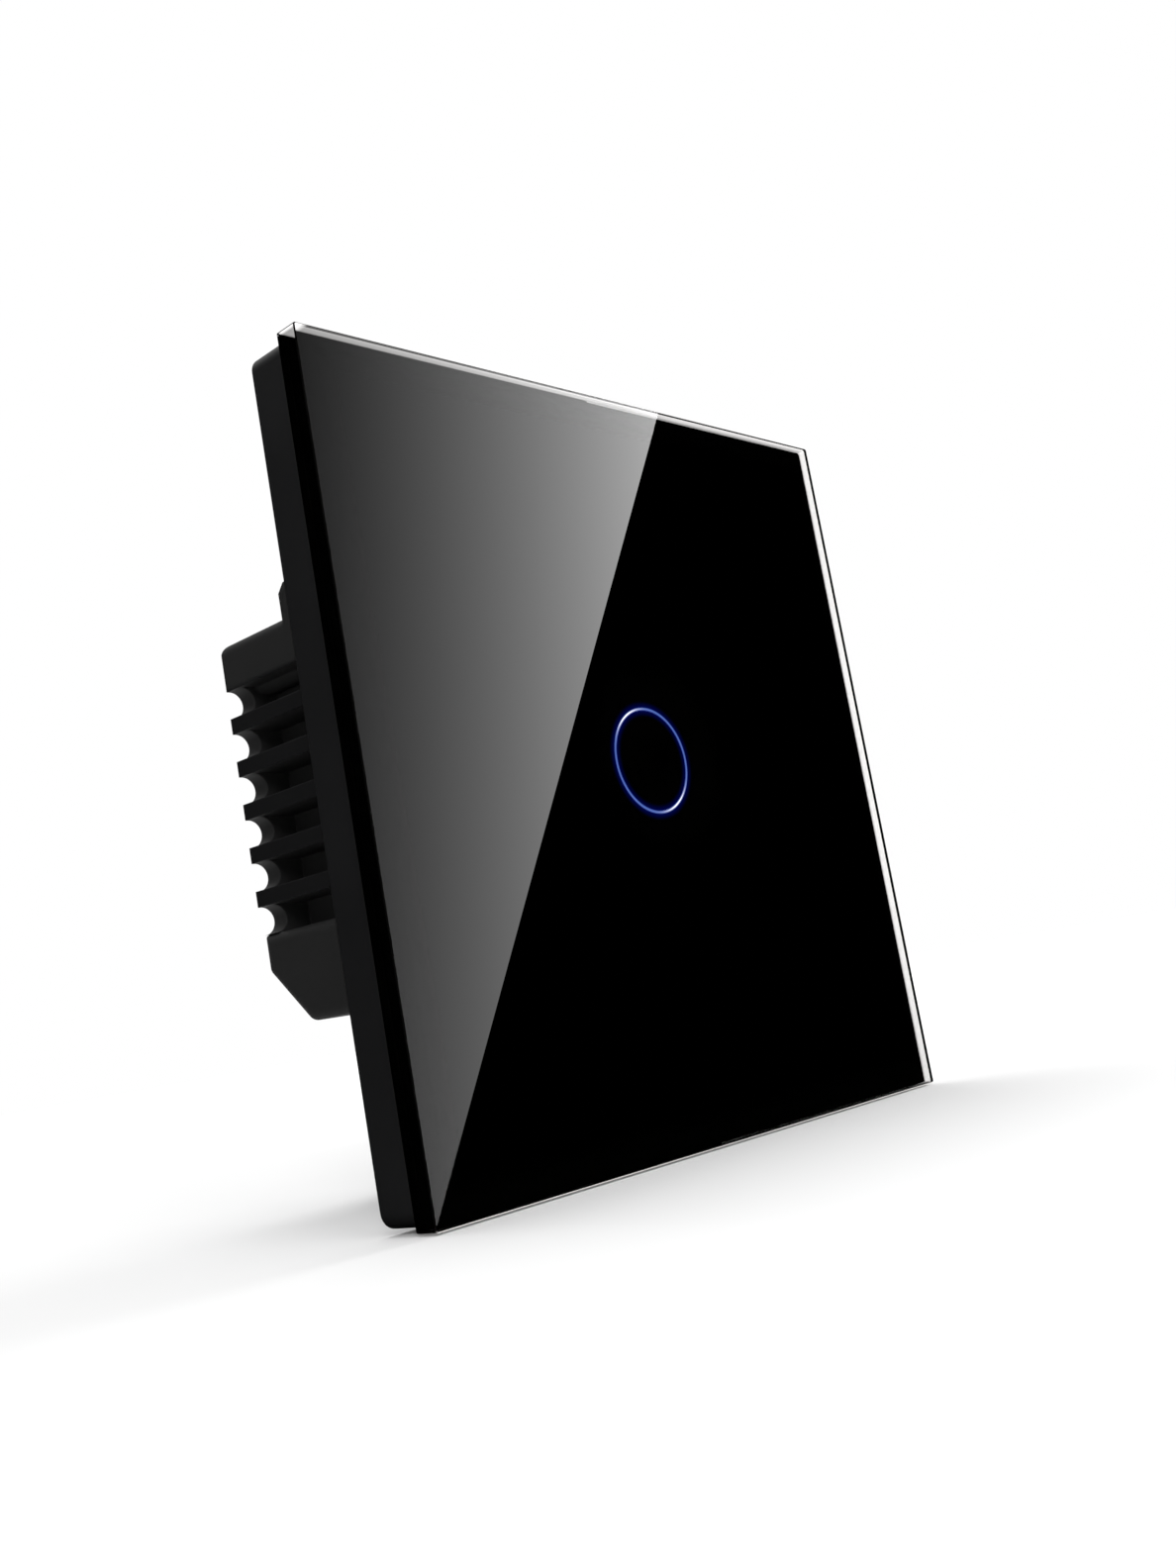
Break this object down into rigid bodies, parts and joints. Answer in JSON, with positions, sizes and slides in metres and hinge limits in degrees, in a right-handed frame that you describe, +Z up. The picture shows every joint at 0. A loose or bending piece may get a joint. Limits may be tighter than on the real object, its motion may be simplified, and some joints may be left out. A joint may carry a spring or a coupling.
{
  "type": "touch light switch",
  "caption": "Square glass-fronted touch light switch with a lit ring, on a clip-on frame over a ribbed module box for a round wall box.",
  "frame": {"origin": "centre of the square panel, in the plane of the wall (the back of the mounting frame)", "axes": "+Y into the wall, +Z up, +X to the right as seen from the front; the glass faces -Y"},
  "size_m": [0.08, 0.0401, 0.08],
  "materials": {
    "clear_glass": "clear toughened glass with ground and polished edges",
    "black_print": "black screen print on the back of the glass",
    "blue_print": "translucent blue print lit from behind",
    "black_tape": "double-sided mounting tape",
    "black_plastic": "fine matt moulded texture",
    "cover_plastic": "satin moulded",
    "zinc_steel": "zinc plated sheet",
    "spring_steel": "bright spring strip",
    "screw_steel": "nickel plated",
    "black_screw": "blackened steel",
    "foam": "soft closed-cell foam",
    "conductive_foam": "carbon-filled foam",
    "light_guide": "frosted clear plastic",
    "board_green": "glass-fibre board with green solder mask",
    "copper": "bare copper",
    "lamp_white": "white lamp body",
    "chip_black": "moulded epoxy",
    "ceramic_tan": "fired ceramic with tinned ends",
    "nylon_black": "glass-filled nylon",
    "gold_pin": "gold-flashed",
    "nylon_grey": "glass-filled nylon",
    "brass": "bright stamped brass",
    "relay_case": "black moulded case",
    "bobbin_white": "moulded",
    "enamel_wire": "enamelled copper wire",
    "soft_iron": "nickel flashed soft iron",
    "silver_contact": "silver alloy",
    "film_yellow": "moulded box",
    "can_black": "shrink sleeve",
    "diode_black": "moulded epoxy",
    "fuse_tan": "ceramic tube with plated caps",
    "varistor_blue": "dipped epoxy coat",
    "ferrite": "ferrite"
  },
  "bodies": {
    "module": {"mounting_frame": "zinc_steel", "frame_rivets": "screw_steel", "catch_springs": "spring_steel", "rear_shell": "black_plastic", "front_cover": "cover_plastic", "housing_screws": "black_screw", "foam_gasket": "foam", "ring_light_guide": "light_guide", "touch_board": "board_green", "touch_electrode": "copper", "sensing_foam": "conductive_foam", "indicator_leds": "lamp_white", "touch_chip": "chip_black", "board_resistors": "chip_black", "board_capacitors": "ceramic_tan", "header_socket": "nylon_black", "header_base": "nylon_black", "header_pins": "gold_pin", "power_board": "board_green", "board_screws": "screw_steel", "control_chip": "chip_black", "switching_transistor": "chip_black", "film_capacitor": "film_yellow", "electrolytic_capacitor": "can_black", "rectifier_diodes": "diode_black", "fuse": "fuse_tan", "varistor": "varistor_blue", "choke_core": "ferrite", "choke_winding": "enamel_wire", "terminal_block": "nylon_grey", "relay_base": "relay_case", "relay_cover": "relay_case", "relay_pins": "gold_pin", "relay_bobbin": "bobbin_white", "relay_winding": "enamel_wire", "relay_core": "soft_iron", "relay_yoke": "soft_iron", "fixed_contact": "brass", "terminal_contact_1": "brass", "terminal_contact_2": "brass", "terminal_contact_3": "brass"},
    "front_panel": {"glass_panel": "clear_glass", "printed_mask": "black_print", "ring_window": "blue_print", "adhesive_tape": "black_tape", "panel_frame": "black_plastic"},
    "relay_arm": {"relay_armature": "soft_iron", "contact_leaf": "copper", "moving_contact": "silver_contact"},
    "terminal_screw_1": {"terminal_screw_1": "screw_steel"},
    "terminal_cage_1": {"terminal_cage_1": "zinc_steel"},
    "terminal_screw_2": {"terminal_screw_2": "screw_steel"},
    "terminal_cage_2": {"terminal_cage_2": "zinc_steel"},
    "terminal_screw_3": {"terminal_screw_3": "screw_steel"},
    "terminal_cage_3": {"terminal_cage_3": "zinc_steel"}
  },
  "joints": [
    {"name": "panel_pull", "type": "slide", "parent": "module", "child": "front_panel", "axis": [0, -1, 0], "range_m": [0, 0.012]},
    {"name": "relay_arm_tilt", "type": "hinge", "parent": "module", "child": "relay_arm", "pos_m": [0.0013, 0.0215, 0.009], "axis": [0, 0, 1], "range_deg": [0, 4], "stiffness_Nm_per_rad": 0.002, "springref_deg": -8.59},
    {"name": "terminal_screw_1_turn", "type": "hinge", "parent": "module", "child": "terminal_screw_1", "pos_m": [-0.01, 0.0277, -0.011], "axis": [0, -1, 0], "range_deg": [0, 1440]},
    {"name": "terminal_cage_1_rise", "type": "slide", "parent": "module", "child": "terminal_cage_1", "axis": [0, 1, 0], "range_m": [0, 0.002]},
    {"name": "terminal_screw_2_turn", "type": "hinge", "parent": "module", "child": "terminal_screw_2", "pos_m": [0, 0.0277, -0.011], "axis": [0, -1, 0], "range_deg": [0, 1440]},
    {"name": "terminal_cage_2_rise", "type": "slide", "parent": "module", "child": "terminal_cage_2", "axis": [0, 1, 0], "range_m": [0, 0.002]},
    {"name": "terminal_screw_3_turn", "type": "hinge", "parent": "module", "child": "terminal_screw_3", "pos_m": [0.01, 0.0277, -0.011], "axis": [0, -1, 0], "range_deg": [0, 1440]},
    {"name": "terminal_cage_3_rise", "type": "slide", "parent": "module", "child": "terminal_cage_3", "axis": [0, 1, 0], "range_m": [0, 0.002]}
  ],
  "couplings": [
    {"joint": "terminal_screw_1_turn", "follows": "terminal_cage_1_rise", "rad_per_m": 12566},
    {"joint": "terminal_screw_2_turn", "follows": "terminal_cage_2_rise", "rad_per_m": 12566},
    {"joint": "terminal_screw_3_turn", "follows": "terminal_cage_3_rise", "rad_per_m": 12566}
  ]
}
